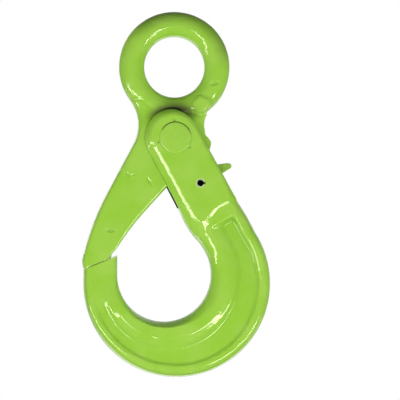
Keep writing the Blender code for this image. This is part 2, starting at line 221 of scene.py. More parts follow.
def seam(along, rise):
    """A point measured along the seam between toe and tip, and square to it."""
    return SEAM_POINT + polar(ORIGIN, along, SEAM_RISE) + polar(ORIGIN, rise, SEAM_RISE + 90.0)


def between(low, high, share):
    share = max(0.0, min(1.0, share))
    return low + (high - low) * share


def eased(low, high, share):
    share = max(0.0, min(1.0, share))
    return low + (high - low) * share * share * (3.0 - 2.0 * share)


def around(angle, middle, reach, firmness=1.0):
    """A share that is largest at the middle angle and falls to 0 at its reach."""
    return firmness * (1.0 - abs(angle - middle) / reach)


def flow(knots, steps):
    """A smooth closed run of values through the knots."""
    run = []
    count = len(knots)
    for i in range(count):
        before, start, end, after = (knots[(i + k) % count] for k in (-1, 0, 1, 2))
        for j in range(steps):
            share = j / steps
            row = []
            for a, b, c, d in zip(before, start, end, after):
                bend = (2 * a - 5 * b + 4 * c - d) * share**2 + (3 * b - a - 3 * c + d) * share**3
                row.append(b + 0.5 * ((c - a) * share + bend))
            run.append(row)
    return run


def solid(name, bm):
    bmesh.ops.remove_doubles(bm, verts=bm.verts, dist=WELD_DISTANCE)
    bmesh.ops.recalc_face_normals(bm, faces=bm.faces)
    bmesh.ops.scale(bm, verts=bm.verts, vec=(MM, MM, MM))
    mesh = bpy.data.meshes.new(name)
    bm.to_mesh(mesh)
    bm.free()
    body = bpy.data.objects.new(name, mesh)
    bpy.context.scene.collection.objects.link(body)
    return body


def loft(name, rings):
    bm = bmesh.new()
    loops = []
    for ring in rings:
        corners = [bm.verts.new(point) for point in ring]
        pairs = zip(corners, corners[1:] + corners[:1])
        loops.append([bm.edges.new(pair) for pair in pairs])
    for first, second in zip(loops, loops[1:]):
        bmesh.ops.bridge_loops(bm, edges=first + second)
    for end in (loops[0], loops[-1]):
        bmesh.ops.contextual_create(bm, geom=end)
    return solid(name, bm)


def plate(name, outline, near, far):
    bm = bmesh.new()
    face = bm.faces.new([bm.verts.new((point.x, near, point.y)) for point in outline])
    grown = bmesh.ops.extrude_face_region(bm, geom=[face])
    moved = [item for item in grown["geom"] if isinstance(item, bmesh.types.BMVert)]
    bmesh.ops.translate(bm, verts=moved, vec=(0.0, far - near, 0.0))
    return solid(name, bm)


def lathe(name, profile, centre, steps):
    """Turns a profile of (radius, depth) pairs round an axis that runs from front to rear."""
    bm = bmesh.new()
    corners = [bm.verts.new((centre.x + r, depth, centre.y)) for r, depth in profile]
    edges = [bm.edges.new(pair) for pair in zip(corners, corners[1:])]
    bmesh.ops.spin(
        bm,
        geom=corners + edges,
        cent=(centre.x, 0.0, centre.y),
        axis=(0.0, 1.0, 0.0),
        angle=2 * math.pi,
        steps=steps,
        use_merge=True,
    )
    return solid(name, bm)


def hole(name, centre, radius, reach, steps=BORE_STEPS):
    """A round cutter that runs from front to rear."""
    profile = [(0.0, -reach), (radius, -reach), (radius, reach), (0.0, reach)]
    return lathe(name, profile, centre, steps)


def pebble(name, centre, depth, radii, lean=0.0):
    """A smooth lump that is used as a cutter and leaves a smooth dent."""
    bm = bmesh.new()
    bmesh.ops.create_uvsphere(bm, u_segments=24, v_segments=12, radius=1.0)
    bmesh.ops.scale(bm, verts=bm.verts, vec=(radii[0], radii[1], radii[2]))
    turn = Matrix.Rotation(math.radians(-lean), 3, "Y")
    bmesh.ops.rotate(bm, verts=bm.verts, cent=(0.0, 0.0, 0.0), matrix=turn)
    bmesh.ops.translate(bm, verts=bm.verts, vec=(centre.x, depth, centre.y))
    return solid(name, bm)


def settle(body, tools):
    """Keeps what the modifiers make, and clears the modifiers and the tools away."""
    bpy.context.view_layer.update()
    graph = bpy.context.evaluated_depsgraph_get()
    body.data = bpy.data.meshes.new_from_object(body.evaluated_get(graph))
    body.modifiers.clear()
    for tool in tools:
        bpy.data.objects.remove(tool)


def machine(body, steps):
    """Joins or cuts with each tool in turn, leaving crisp edges."""
    for operation, tool in steps:
        boolean = body.modifiers.new(tool.name, "BOOLEAN")
        boolean.operation = operation
        boolean.solver = "EXACT"
        boolean.object = tool
    settle(body, [tool for _, tool in steps])


def soften(body, voxel, passes):
    """Runs every edge into a small radius, as a forging die does."""
    skin = body.modifiers.new("skin", "REMESH")
    skin.mode = "VOXEL"
    skin.voxel_size = voxel * MM
    rounding = body.modifiers.new("rounding", "SMOOTH")
    rounding.factor = 0.5
    rounding.iterations = passes
    settle(body, [])


def smooth_shade(body, crease):
    body.data.shade_smooth()
    body.data.set_sharp_from_angle(angle=math.radians(crease))


def waist(edge):
    """Centre and radius of the hollow that runs from the ring's outside into the neck."""
    reach = abs(edge)
    radius = (reach**2 + WAIST_HEIGHT**2 - RING_OUTER**2) / (2 * (RING_OUTER - reach))
    return Vector((math.copysign(reach + radius, edge), WAIST_HEIGHT)), radius


def make_ring():
    middle = EYE_RADIUS + RING_WIDTH / 2
    section = []
    for i in range(RING_SIDES + 1):
        turn = 2 * math.pi * i / RING_SIDES
        section.append((middle + math.cos(turn) * RING_WIDTH / 2, math.sin(turn) * RING_HALF_DEPTH))
    return lathe("eye_forging", section, ORIGIN, RING_STEPS)


def arm_section(outer, inner, rounding):
    inwards = (inner - outer).normalized() * rounding
    quarter = [math.radians(90.0 * i / ROUNDING_STEPS) for i in range(ROUNDING_STEPS + 1)]
    profile = []
    for turn in quarter:
        depth = ARM_HALF_DEPTH - rounding * (1.0 - math.sin(turn))
        profile.append((outer + inwards * (1.0 - math.cos(turn)), depth))
    for turn in reversed(quarter):
        depth = ARM_HALF_DEPTH - rounding * (1.0 - math.sin(turn))
        profile.append((inner - inwards * (1.0 - math.cos(turn)), depth))
    ring = [(point.x, -depth, point.y) for point, depth in profile]
    ring += [(point.x, depth, point.y) for point, depth in reversed(profile)]
    return ring


def make_arm():
    left_centre, left_radius = waist(WAIST_LEFT)
    neck_start = math.degrees(math.atan2(-left_centre.y, -left_centre.x))
    outer = arc(left_centre, left_radius, neck_start, -ARM_OUTER_LEAN, NECK_STEPS)
    bend_start = outer[-1] + ARM_OUTER_RUN * heading(ARM_OUTER_LEAN)
    bend_centre = bend_start + ARM_BEND * polar(ORIGIN, 1.0, -ARM_OUTER_LEAN)
    outer += arc(bend_centre, ARM_BEND, 180.0 - ARM_OUTER_LEAN, 180.0 - ARM_END_LEAN, ARM_STEPS)
    right_centre, right_radius = waist(WAIST_RIGHT)
    neck_end = math.degrees(math.atan2(-right_centre.y, -right_centre.x))
    half = NECK_STEPS // 2
    inner = arc(right_centre, right_radius + HUB_STEP, neck_end, NECK_FOOT, half)
    neck_foot = inner[-1]
    inner += [neck_foot.lerp(ARM_CROSSING, i / half) for i in range(1, half + 1)]
    bend_start = ARM_CROSSING + ARM_INNER_RUN * heading(ARM_INNER_LEAN)
    bend_centre = bend_start + ARM_BEND * polar(ORIGIN, 1.0, -ARM_INNER_LEAN)
    inner += arc(bend_centre, ARM_BEND, 180.0 - ARM_INNER_LEAN, 180.0 - ARM_TOE_LEAN, ARM_STEPS)
    outer.append(TOE_OUTER)
    inner.append(TOE_INNER)
    rings = []
    for i, (outer_point, inner_point) in enumerate(zip(outer, inner)):
        rounding = between(NECK_ROUNDING, ARM_ROUNDING, i / NECK_STEPS)
        rings.append(arm_section(outer_point, inner_point, rounding))
    rings.append(arm_section(seam(-SEAM_LEFT, -TOE_SPARE), seam(SEAM_RIGHT, -TOE_SPARE), ARM_ROUNDING))
    return loft("latch_arm", rings)


def seam_block(name, bottom, top, half_width):
    corners = ((-SEAM_CUT, bottom), (SEAM_CUT, bottom), (SEAM_CUT, top), (-SEAM_CUT, top))
    return plate(name, [seam(*corner) for corner in corners], -half_width, half_width)


def make_toe_chamfer(side):
    """Takes the toe's face down to the seam in a narrow slope."""
    rings = []
    for end in (-SEAM_CUT, SEAM_CUT):
        points = [(seam(end, rise), depth) for rise, depth in TOE_CHAMFER]
        rings.append([(point.x, side * depth, point.y) for point, depth in points])
    return loft("toe_chamfer", rings)


def cheek_reach(angle):
    """How far the top of a cheek reaches from the pin, at this angle from the shank's right."""
    for (low, near), (high, far) in zip(CHEEK_TOP, CHEEK_TOP[1:]):
        if angle <= high:
            return eased(near, far, (angle - low) / (high - low))
    return CHEEK_TOP[-1][1]


def make_recess(name, near, far):
    """Clears the room that a cheek sweeps as the hook swings, as far as the stop."""
    stop_angle = SHANK_TILT + STOP_SWING
    stop_foot = polar(PIVOT, SHANK_RIGHT + STOP_GAP, stop_angle)
    sunk = [stop_foot + polar(ORIGIN, STOP_EDGE, stop_angle - 90.0)]
    for i in range(RECESS_STEPS + 1):
        angle = between(RECESS_START, 180.0, i / RECESS_STEPS)
        gap = eased(CHEEK_GAP, CROWN_GAP, around(angle, *CROWN_SPREAD))
        sunk.append(polar(PIVOT, cheek_reach(angle) + gap, SHANK_TILT + angle))
    sunk += [shank(along, -across - CHEEK_GAP) for along, across in CHEEK_LEFT]
    sunk.append(shank(CHEEK_LEFT[-1][0], RECESS_REACH))
    return plate(name, sunk, near, far)


def make_hub():
    inset = HUB_STEP * polar(ORIGIN, 1.0, 180.0 - ARM_INNER_LEAN)
    right_centre, right_radius = waist(WAIST_RIGHT)
    hub = [ARM_CROSSING + run * heading(ARM_INNER_LEAN) + inset for run in HUB_ARM_RUN]
    hub += arc(PIVOT, HUB_RADIUS, HUB_START, TOOTH_START, HUB_STEPS)
    hub += arc(PIVOT, TOOTH_RADIUS, TOOTH_START, TOOTH_END, TOOTH_STEPS)
    hub += [polar(PIVOT, reach, angle) for reach, angle in TOOTH_BACK]
    hub += arc(right_centre, right_radius, *HUB_NECK, HUB_NECK_STEPS)
    hub += [Vector(point) for point in HUB_INSIDE]
    return plate("hub", hub, -HUB_HALF_DEPTH, HUB_HALF_DEPTH)


def make_stop_pad(side):
    edge = flow(STOP_PAD, FLOW_STEPS)
    rings = []
    for depth, shrink in STOP_PAD_LEVELS:
        ring = [Vector(point).lerp(STOP_PAD_MIDDLE, shrink) for point in edge]
        rings.append([(point.x, side * depth, point.y) for point in ring])
    return loft("stop_pad", rings)


eye = make_ring()
groove = seam_block("groove", -GROOVE_DEPTH, GROOVE_DEPTH, GROOVE_HALF_WIDTH)
shaping = [("UNION", make_arm()), ("UNION", make_hub()), ("DIFFERENCE", groove)]
shaping += [("UNION", make_stop_pad(side)) for side in BOTH_SIDES]
machine(eye, shaping)
soften(eye, EYE_VOXEL, EYE_PASSES)
finishing = [("DIFFERENCE", make_toe_chamfer(side)) for side in BOTH_SIDES]
finishing += [
    ("DIFFERENCE", seam_block("toe_trim", 0.0, -TOE_CUT, RIGHT_THROUGH)),
    ("DIFFERENCE", make_recess("front_recess", -RIGHT_THROUGH, -HUB_HALF_DEPTH)),
    ("DIFFERENCE", make_recess("rear_recess", HUB_HALF_DEPTH, RIGHT_THROUGH)),
    ("DIFFERENCE", hole("hub_bore", PIVOT, HUB_BORE, HUB_BORE_REACH)),
]
for name, place, lean, radii, sunk in DENTS:
    dent = pebble(name, Vector(place), sunk - ARM_HALF_DEPTH - radii[1], radii, lean)
    finishing.append(("DIFFERENCE", dent))
machine(eye, finishing)
smooth_shade(eye, FORGED_CREASE)


def new_finish(name):
    material = bpy.data.materials.new(name)
    material.use_nodes = True
    return material, material.node_tree


def grain(tree, scale, detail):
    """Noise that is fixed to the piece."""
    place = tree.nodes.new("ShaderNodeTexCoord")
    texture = tree.nodes.new("ShaderNodeTexNoise")
    texture.inputs["Scale"].default_value = scale
    texture.inputs["Detail"].default_value = detail
    tree.links.new(place.outputs["Object"], texture.inputs["Vector"])
    return texture.outputs["Fac"]


def remap(tree, value, old, new, smooth=False):
    node = tree.nodes.new("ShaderNodeMapRange")
    node.interpolation_type = "SMOOTHSTEP" if smooth else "LINEAR"
    sockets = ("From Min", "From Max", "To Min", "To Max")
    for socket, number in zip(sockets, (*old, *new)):
        node.inputs[socket].default_value = number
    tree.links.new(value, node.inputs["Value"])
    return node.outputs["Result"]


def combine(tree, operation, first, second):
    """Sums on two values, where the second may be a plain number."""
    node = tree.nodes.new("ShaderNodeMath")
    node.operation = operation
    tree.links.new(first, node.inputs[0])
    if isinstance(second, float):
        node.inputs[1].default_value = second
    else:
        tree.links.new(second, node.inputs[1])
    return node.outputs["Value"]


def reckon(tree, operation, vector, other=(0.0, 0.0, 0.0)):
    """Sums on a vector, with a fixed second one where the operation takes two."""
    node = tree.nodes.new("ShaderNodeVectorMath")
    node.operation = operation
    node.inputs[1].default_value = other
    tree.links.new(vector, node.inputs[0])
    return node.outputs["Value" if operation in ("LENGTH", "DOT_PRODUCT") else "Vector"]


def blend(tree, share, first, second):
    """Goes from one colour to another, each a fixed tint or what other nodes make."""
    node = tree.nodes.new("ShaderNodeMix")
    node.data_type = "RGBA"
    tree.links.new(share, node.inputs["Factor"])
    for place, tint in ((MIX_FIRST, first), (MIX_SECOND, second)):
        if isinstance(tint, tuple):
            node.inputs[place].default_value = (*tint, 1.0)
        else:
            tree.links.new(tint, node.inputs[place])
    return node.outputs[MIX_RESULT]


def dented(tree, height, strength, depth):
    node = tree.nodes.new("ShaderNodeBump")
    node.inputs["Strength"].default_value = strength
    node.inputs["Distance"].default_value = depth * MM
    tree.links.new(height, node.inputs["Height"])
    return node


def tinted(colour, coat):
    return tuple(part * factor for part, factor in zip(colour, coat))


def lime_enamel(name, colour, gloss, wave=EYE_WAVE):
    """Enamel over a blasted forging: soft waves, orange peel, edges paler for a thinner coat and a painted
    highlight, and corners darkened as painted shade.
    """
    material, tree = new_finish(name)
    shader = tree.nodes["Principled BSDF"]
    patches = remap(tree, grain(tree, scale=70.0, detail=3.0), COAT_PATCHES, (0.0, 1.0))
    coat = blend(tree, patches, tinted(colour, THICK_COAT), tinted(colour, THIN_COAT))
    # Pointiness paints ridges paler, partly a thinner coat and partly a painted highlight, and corners
    # darker as painted shade
    curve = tree.nodes.new("ShaderNodeNewGeometry").outputs["Pointiness"]
    ridges = remap(tree, curve, RIDGE_CURVE, (0.0, RIDGE_SHARE))
    coat = blend(tree, ridges, coat, tinted(colour, RIDGE_THIN_COAT_HIGHLIGHT))
    corners = remap(tree, curve, CORNER_CURVE, (0.0, CORNER_SHARE))
    coat = blend(tree, corners, coat, tinted(colour, CORNER_SHADE))
    tree.links.new(coat, shader.inputs["Base Color"])
    haze = grain(tree, scale=260.0, detail=2.0)
    sheen = remap(tree, haze, HAZE, (gloss - SHEEN_BELOW, gloss + SHEEN_ABOVE))
    tree.links.new(sheen, shader.inputs["Roughness"])
    waves = dented(tree, grain(tree, scale=240.0, detail=3.0), wave, WAVE_DEPTH)
    peel = dented(tree, grain(tree, scale=900.0, detail=1.0), PEEL_SHARE * wave, PEEL_DEPTH)
    tree.links.new(waves.outputs["Normal"], peel.inputs["Normal"])
    tree.links.new(peel.outputs["Normal"], shader.inputs["Normal"])
    tree.links.new(peel.outputs["Normal"], shader.inputs["Coat Normal"])
    shader.inputs["Specular IOR Level"].default_value = 0.5
    shader.inputs["Coat Weight"].default_value = 0.2
    shader.inputs["Coat Roughness"].default_value = 0.05
    shader.inputs["Specular Tint"].default_value = HIGHLIGHT_TINT
    return material


def from_axis(tree, centre):
    """The way out from an axis that runs from front to rear, with its length."""
    place = tree.nodes.new("ShaderNodeTexCoord")
    level = reckon(tree, "MULTIPLY", place.outputs["Object"], (1.0, 0.0, 1.0))
    return reckon(tree, "SUBTRACT", level, (centre.x * MM, 0.0, centre.y * MM))


def paint_over(material, share, tint):
    """Lays a second colour over the coat that is there."""
    tree = material.node_tree
    colour = tree.nodes["Principled BSDF"].inputs["Base Color"]
    under = colour.links[0].from_socket
    tree.links.new(blend(tree, share, under, tint), colour)


def add_painted_shade(material, centre, unshaded, black, aim, spread, falloff, strength):
    """Painted shade round a centre, darkening from an unshaded radius to a black one, on the side it aims
    at.
    """
    tree = material.node_tree
    away = from_axis(tree, centre)
    near = remap(tree, reckon(tree, "LENGTH", away), (unshaded * MM, black * MM), (0.0, 1.0), smooth=True)
    close = combine(tree, "POWER", near, falloff)
    towards = polar(ORIGIN, 1.0, aim)
    facing = reckon(tree, "DOT_PRODUCT", reckon(tree, "NORMALIZE", away), (towards.x, 0.0, towards.y))
    over = remap(tree, facing, (spread, spread + SHADE_FADE), (0.0, strength), smooth=True)
    paint_over(material, combine(tree, "MULTIPLY", close, over), PAINTED_SHADE)


eye_enamel = lime_enamel("eye_enamel", LIME, EYE_GLOSS)
# Painted shade along the top of the ring
add_painted_shade(eye_enamel, **RING_TOP_SHADE)
# Painted shadow of the ear, on the neck above its crown
add_painted_shade(eye_enamel, **CROWN_SHADOW)
eye.data.materials.clear()
eye.data.materials.append(eye_enamel)
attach(eye, "eye")
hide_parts("eye_latch")

# Hook forging: the second drop forging, with the bowl, its tip and the fork that straddles the hub. The
# bowl has a fat bulb by the load, a sunk panel down its back and a rim outside that. The cheeks stand
# proud as flat ears, and the pin holes are drilled after forging.
CHEEK_FACE = 13.0
FORK_HALF_GAP = 6.3
FORK_FLOOR = 37.5
FORK_TOP = -30.0
FORK_REACH = 40.0
CHEEK_CROWN = (
    (0.0, 2.3, 2.4),
    (20.0, 2.5, 2.8),
    (40.0, 2.9, 3.6),
    (60.0, 3.3, 4.6),
    (80.0, 3.6, 5.2),
    (100.0, 3.6, 5.4),
    (120.0, 3.4, 5.4),
    (140.0, 3.4, 5.4),
    (155.0, 3.9, 5.4),
    (168.0, 4.8, 5.4),
    (180.0, 5.6, 5.4),
)
CHEEK_LEFT_INSET = 5.8
CHEEK_LEFT_DROP = 5.4

# Each knot: the foot of the ear's edge, the rim of its flat face, both down and across the shank, how far
# the edge drops, and its share of plain ramp instead of two facets
CHEEK_FOOT = (
    (50.0, -18.2, 45.5, -11.8, 5.4, 0.0),
    (57.0, -16.8, 48.9, -11.4, 5.0, 0.3),
    (59.0, -13.0, 50.2, -10.6, 2.8, 0.8),
    (57.6, -9.2, 50.2, -9.0, 2.3, 1.0),
    (54.8, -5.6, 49.0, -6.2, 1.85, 1.0),
    (52.4, -2.2, 47.7, -2.8, 1.5, 1.0),
    (51.2, 2.4, 47.0, 1.6, 1.35, 1.0),
    (51.0, 7.2, 47.1, 6.4, 1.3, 1.0),
    (50.9, 11.0, 47.2, 9.4, 1.6, 0.8),
    (49.4, SHANK_RIGHT, 46.4, 10.3, 4.0, 0.2),
    (44.0, SHANK_RIGHT, 43.5, 11.2, 3.4, 0.0),
    (36.0, SHANK_RIGHT, 36.0, 12.0, 2.5, 0.0),
    (24.0, SHANK_RIGHT, 24.0, 12.1, 2.4, 0.0),
    (12.0, SHANK_RIGHT, 12.0, 12.1, 2.4, 0.0),
)
CHEEK_EDGE = ((0.0, 0.0), (0.29, 0.38), (0.58, 0.76), (0.79, 0.88), (1.0, 1.0))

BOWL_INNER_CENTRE = Vector((-6.1, -122.2))
BOWL_INNER_RADIUS = 27.6
BOWL_OUTER_CENTRE = Vector((1.5, -127.4))
BOWL_OUTER_RADIUS = 55.2
BOWL_START_ANGLE = 180.0
BOWL_END_ANGLE = 393.0
BOWL_STEPS = 84
TIP_INNER_TOP = Vector((-33.7, -110.7))
TIP_OUTER_TOP = Vector((-53.7, -118.9))
TIP_HALF_DEPTH = 8.6
TIP_STEPS = 4
TIP_CUT = 8.0
TIP_CUT_SPARE = 5.0
TONGUE = (
    (-51.2, -124.0),
    (-51.2, -113.4),
    (-49.4, -111.6),
    (-42.4, -107.9),
    (-39.6, -110.4),
    (-39.6, -122.0),
)
TONGUE_HALF_WIDTH = 3.2

# Half depths of the hook's levels, and the angles round the bowl between which each one comes in
BULB_HALF_DEPTH = 11.2
BULB_RISES = (184.0, 218.0)
PANEL_HALF_DEPTH = 7.9
PANEL_SINKS = (190.0, 208.0)
RIM_HALF_DEPTH = 9.6
RIM_RISES = (190.0, 230.0)
SHOULDER_HALF_DEPTH = 12.2
SHOULDER_RISES = (345.0, 393.0)

# Places across a slice of full width, from the throat or from the back, and (width, fullness) of its edges
FULL_WIDTH = 33.0
BOWL_EDGE = (6.0, 2.6)
NECK_EDGE = (8.0, 2.2)
NECK_EDGE_COMES = (300.0, 345.0)
LIP_EDGE = (3.3, 1.25)
LIP_SPREAD = (264.0, 62.0, 1.6)
BULB_END = 10.0
BULB_BREAK = 13.4
BULB_FACET = 0.31
GENTLE_SLOPE = (6.0, 18.5)
GENTLE_SPREAD = (270.0, 20.0, 1.5)
PANEL_START = 17.0
PANEL_END = 8.8
RIM_START = 7.0
RIM_EDGE = (5.2, 2.2)
EDGE_STEPS = 9
SLOPE_STEPS = 5

# The neck's slices, measured down the shank: its left side bows out, and the panel ends in a square corner
NECK_FROM = 62.0
NECK_OVERLAP = 1.3
HOOK_NECK_STEPS = 20
NECK_LEFT = 18.7
NECK_LEFT_BOW = 0.0102
NECK_LEFT_WIDEST = 48.0
NECK_RIGHT = 15.5
NECK_RIGHT_INSET = 0.1
NECK_BULB_DROP = 0.3
NECK_RIM_RISE = 0.45
PANEL_CORNER = 22.0
PANEL_WALL = (56.0, 59.0)
PANEL_TURN = (56.0, 62.0)

HOOK_VOXEL = 0.58
HOOK_PASSES = 3
HOOK_GLOSS = 0.10
HOOK_WAVE = 0.38
PIN_RADIUS = 9.4
STAKE_ANGLES = (94.0, 195.0, 326.0)
STAKE_OFFSET = 0.7
STAKE_LIFT = 0.2
STAKE_RADIUS = 0.9
TRIGGER_DOWN = 30.4
TRIGGER_PIVOT = shank(TRIGGER_DOWN, 0.0)
ROLL_RADIUS = 3.0
# Near-black painted shade for the faces inside the fork gap and the roll pin's bore, streaked a little
# lighter
DEEP_SHADE = (0.0006, 0.0006, 0.0005)
LIGHTER_SHADE = (0.0030, 0.0028, 0.0020)
SHADE_SHEEN = (0.4, 0.8)
SHADE_MARGIN = 0.2


def progress(value, stretch):
    start, end = stretch
    return (value - start) / (end - start)


def rounded(share, fullness):
    """Height of a rounded edge, from 0 at its foot to 1 where it meets the face."""
    return (1.0 - max(0.0, 1.0 - share) ** fullness) ** (1.0 / fullness)


def bowl_section(inner, outer, levels, edge, panel_start=PANEL_START, gentle=0.0):
    """A slice of the hook from the throat outwards, with the half depths of its bulb, panel and rim."""
    bulb, panel, rim = levels
    width = (outer - inner).length
    step = (outer - inner) / width
    scale = min(1.0, width / FULL_WIDTH)
    quarter = [1.0 - math.cos(math.radians(90.0 * i / EDGE_STEPS)) for i in range(EDGE_STEPS + 1)]
    places = [edge[0] * scale * share for share in quarter]
    places += [between(BULB_END, panel_start, i / EDGE_STEPS) * scale for i in range(EDGE_STEPS + 1)]
    floor_end = width - PANEL_END * scale
    slope = [i / SLOPE_STEPS for i in range(1, SLOPE_STEPS + 1)]
    places += [between(panel_start * scale, floor_end, share) for share in slope]
    places += [width - between(PANEL_END, RIM_START, share) * scale for share in slope]
    places += [width - RIM_EDGE[0] * scale * share for share in reversed(quarter)]
    profile = []
    for place in places:
        from_throat = place / scale
        from_back = (width - place) / scale
        facet = min(1.0, progress(from_throat, (BULB_END, BULB_BREAK)))
        depth = between(bulb, panel, BULB_FACET * facet)
        depth = eased(depth, panel, progress(from_throat, (BULB_BREAK, panel_start)))
        smooth = eased(bulb, panel, progress(from_throat, GENTLE_SLOPE))
        depth = between(depth, smooth, gentle)
        depth = eased(depth, rim, progress(from_back, (PANEL_END, RIM_START)))
        throat_side = rounded(from_throat / edge[0], edge[1])
        back_side = rounded(from_back / RIM_EDGE[0], RIM_EDGE[1])
        profile.append((inner + step * place, depth * min(throat_side, back_side)))
    ring = [(point.x, -depth, point.y) for point, depth in profile]
    ring += [(point.x, depth, point.y) for point, depth in reversed(profile[1:-1])]
    return ring


def make_bowl():
    rings = []
    inner_start = polar(BOWL_INNER_CENTRE, BOWL_INNER_RADIUS, BOWL_START_ANGLE)
    outer_start = polar(BOWL_OUTER_CENTRE, BOWL_OUTER_RADIUS, BOWL_START_ANGLE)
    for i in range(-1, TIP_STEPS):
        inner = TIP_INNER_TOP.lerp(inner_start, i / TIP_STEPS)
        outer = TIP_OUTER_TOP.lerp(outer_start, i / TIP_STEPS)
        rings.append(bowl_section(inner, outer, [TIP_HALF_DEPTH] * 3, BOWL_EDGE))
    for i in range(BOWL_STEPS + 1):
        angle = between(BOWL_START_ANGLE, BOWL_END_ANGLE, i / BOWL_STEPS)
        inner = polar(BOWL_INNER_CENTRE, BOWL_INNER_RADIUS, angle)
        outer = polar(BOWL_OUTER_CENTRE, BOWL_OUTER_RADIUS, angle)
        bulb = eased(TIP_HALF_DEPTH, BULB_HALF_DEPTH, progress(angle, BULB_RISES))
        panel = eased(TIP_HALF_DEPTH, PANEL_HALF_DEPTH, progress(angle, PANEL_SINKS))
        rim = eased(TIP_HALF_DEPTH, RIM_HALF_DEPTH, progress(angle, RIM_RISES))
        rim = eased(rim, SHOULDER_HALF_DEPTH, progress(angle, SHOULDER_RISES))
        neck = progress(angle, NECK_EDGE_COMES)
        edge = [eased(*ends, neck) for ends in zip(BOWL_EDGE, NECK_EDGE)]
        lip = around(angle, *LIP_SPREAD)
        edge = [eased(*ends, lip) for ends in zip(edge, LIP_EDGE)]
        gentle = eased(0.0, 1.0, around(angle, *GENTLE_SPREAD))
        rings.append(bowl_section(inner, outer, (bulb, panel, rim), edge, gentle=gentle))
    for i in range(HOOK_NECK_STEPS + 1):
        share = i / HOOK_NECK_STEPS
        along = between(NECK_FROM, FORK_FLOOR + NECK_OVERLAP, share)
        left = NECK_LEFT - NECK_LEFT_BOW * (along - NECK_LEFT_WIDEST) ** 2
        right = between(NECK_RIGHT, SHANK_RIGHT - NECK_RIGHT_INSET, share)
        bulb = eased(BULB_HALF_DEPTH, SHOULDER_HALF_DEPTH - NECK_BULB_DROP, share)
        rim = eased(SHOULDER_HALF_DEPTH, SHOULDER_HALF_DEPTH + NECK_RIM_RISE, share)
        panel = eased(rim, PANEL_HALF_DEPTH, progress(along, PANEL_WALL))
        panel_start = eased(PANEL_CORNER, PANEL_START, progress(along, PANEL_TURN))
        section = (shank(along, -left), shank(along, right))
        rings.append(bowl_section(*section, (bulb, panel, rim), NECK_EDGE, panel_start))
    return loft("hook_forging", rings)


def make_cheeks():
    knots = []
    for angle, inset, drop in CHEEK_CROWN:
        foot = polar(ORIGIN, cheek_reach(angle), angle)
        rim = polar(ORIGIN, cheek_reach(angle) - inset, angle)
        knots.append((-foot.y, foot.x, -rim.y, rim.x, drop, 0.0))
    for along, across in CHEEK_LEFT[:-1]:
        knots.append((along, -across, along, CHEEK_LEFT_INSET - across, CHEEK_LEFT_DROP, 0.0))
    edge = flow(knots + list(CHEEK_FOOT), FLOW_STEPS)
    front = []
    for share, rise in CHEEK_EDGE:
        ring = []
        level = (share + rise) / 2
        for foot_along, foot_across, rim_along, rim_across, drop, ramp in edge:
            inwards = between(share, level, ramp)
            height = between(rise, level, ramp)
            along = between(foot_along, rim_along, inwards)
            point = shank(along, between(foot_across, rim_across, inwards))
            ring.append((point.x, drop * (1.0 - height) - CHEEK_FACE, point.y))
        front.append(ring)
    rear = [[(x, -y, z) for x, y, z in ring] for ring in front]
    return loft("cheeks", list(reversed(front)) + rear)


def make_fork_gap():
    corners = (
        (FORK_TOP, -FORK_REACH),
        (FORK_FLOOR, -FORK_REACH),
        (FORK_FLOOR, FORK_REACH),
        (FORK_TOP, FORK_REACH),
    )
    return plate("fork_gap", [shank(*corner) for corner in corners], -FORK_HALF_GAP, FORK_HALF_GAP)


def make_tip_trim():
    top = (TIP_INNER_TOP - TIP_OUTER_TOP).normalized()
    rise = TIP_CUT * Vector((-top.y, top.x))
    outer = TIP_OUTER_TOP - TIP_CUT_SPARE * top
    inner = TIP_INNER_TOP + TIP_CUT_SPARE * top
    return plate("tip_trim", [outer, inner, inner + rise, outer + rise], -RIGHT_THROUGH, RIGHT_THROUGH)


def make_tongue():
    outline = [Vector(point) for point in TONGUE]
    return plate("tongue", outline, -TONGUE_HALF_WIDTH, TONGUE_HALF_WIDTH)


hook = make_bowl()
machine(hook, [("UNION", make_cheeks())])
soften(hook, HOOK_VOXEL, HOOK_PASSES)
drilling = [
    ("DIFFERENCE", make_fork_gap()),
    ("DIFFERENCE", make_tip_trim()),
    ("UNION", make_tongue()),
    ("DIFFERENCE", hole("load_pin_hole", PIVOT, PIN_RADIUS, RIGHT_THROUGH)),
    ("DIFFERENCE", hole("trigger_pin_hole", TRIGGER_PIVOT, ROLL_RADIUS, RIGHT_THROUGH)),
]
for angle in STAKE_ANGLES:
    for side in BOTH_SIDES:
        place = polar(PIVOT, PIN_RADIUS + STAKE_OFFSET, angle)
        dent = pebble("stake_mark", place, side * (CHEEK_FACE + STAKE_LIFT), [STAKE_RADIUS] * 3)
        drilling.append(("DIFFERENCE", dent))
machine(hook, drilling)
smooth_shade(hook, FORGED_CREASE)


def painted_shade_film(name):
    """Near-black painted shade, streaked a little lighter, with the roughness varying along the streaks."""
    material, tree = new_finish(name)
    shader = tree.nodes["Principled BSDF"]
    shader.inputs["Specular IOR Level"].default_value = 0.02
    streaks = grain(tree, scale=420.0, detail=4.0)
    tree.links.new(blend(tree, streaks, DEEP_SHADE, LIGHTER_SHADE), shader.inputs["Base Color"])
    tree.links.new(remap(tree, streaks, (0.0, 1.0), SHADE_SHEEN), shader.inputs["Roughness"])
    return material


# The faces inside the fork gap are painted near-black as shade
fork_shade = painted_shade_film("fork_painted_shade")
hook.data.materials.clear()
hook.data.materials.append(lime_enamel("hook_enamel", LIME, HOOK_GLOSS, HOOK_WAVE))
hook.data.materials.append(fork_shade)
down = polar(ORIGIN, 1.0, SHANK_TILT - 90.0)
for polygon in hook.data.polygons:
    along = (Vector((polygon.center.x, polygon.center.z)) / MM - PIVOT).dot(down)
    in_gap = abs(polygon.center.y) < (FORK_HALF_GAP + SHADE_MARGIN) * MM
    polygon.material_index = 1 if in_gap and along < FORK_FLOOR + SHADE_MARGIN else 0
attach(hook, "hook")
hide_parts("hook_body")

